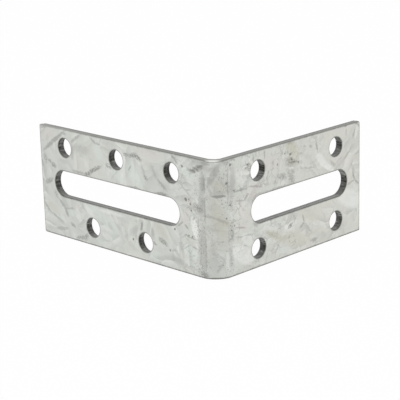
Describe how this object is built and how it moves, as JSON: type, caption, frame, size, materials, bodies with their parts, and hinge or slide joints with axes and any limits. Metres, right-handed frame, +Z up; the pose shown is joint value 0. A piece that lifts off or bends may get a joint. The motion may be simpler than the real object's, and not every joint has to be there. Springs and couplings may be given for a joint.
{
  "type": "adjustable angle bracket",
  "caption": "Right-angle bracket folded from one galvanised steel strip, with screw holes and a long slot in each leg so that it can be set to position before it is fixed.",
  "frame": {"origin": "centre of the footprint's bounding rectangle, on the plane of the lower edge that the bracket stands on", "axes": "+Z up along the bend; the long leg runs along -X from the heel with its outer face towards -Y, and the short leg runs along +Y with its outer face towards +X"},
  "size_m": [0.065, 0.055, 0.03],
  "materials": {
    "galvanised_sheet": "hot-dip galvanised sheet with a visible spangle, satin, with bare grey cut edges"
  },
  "bodies": {
    "root": {"angle_bracket": "galvanised_sheet"}
  },
  "joints": []
}
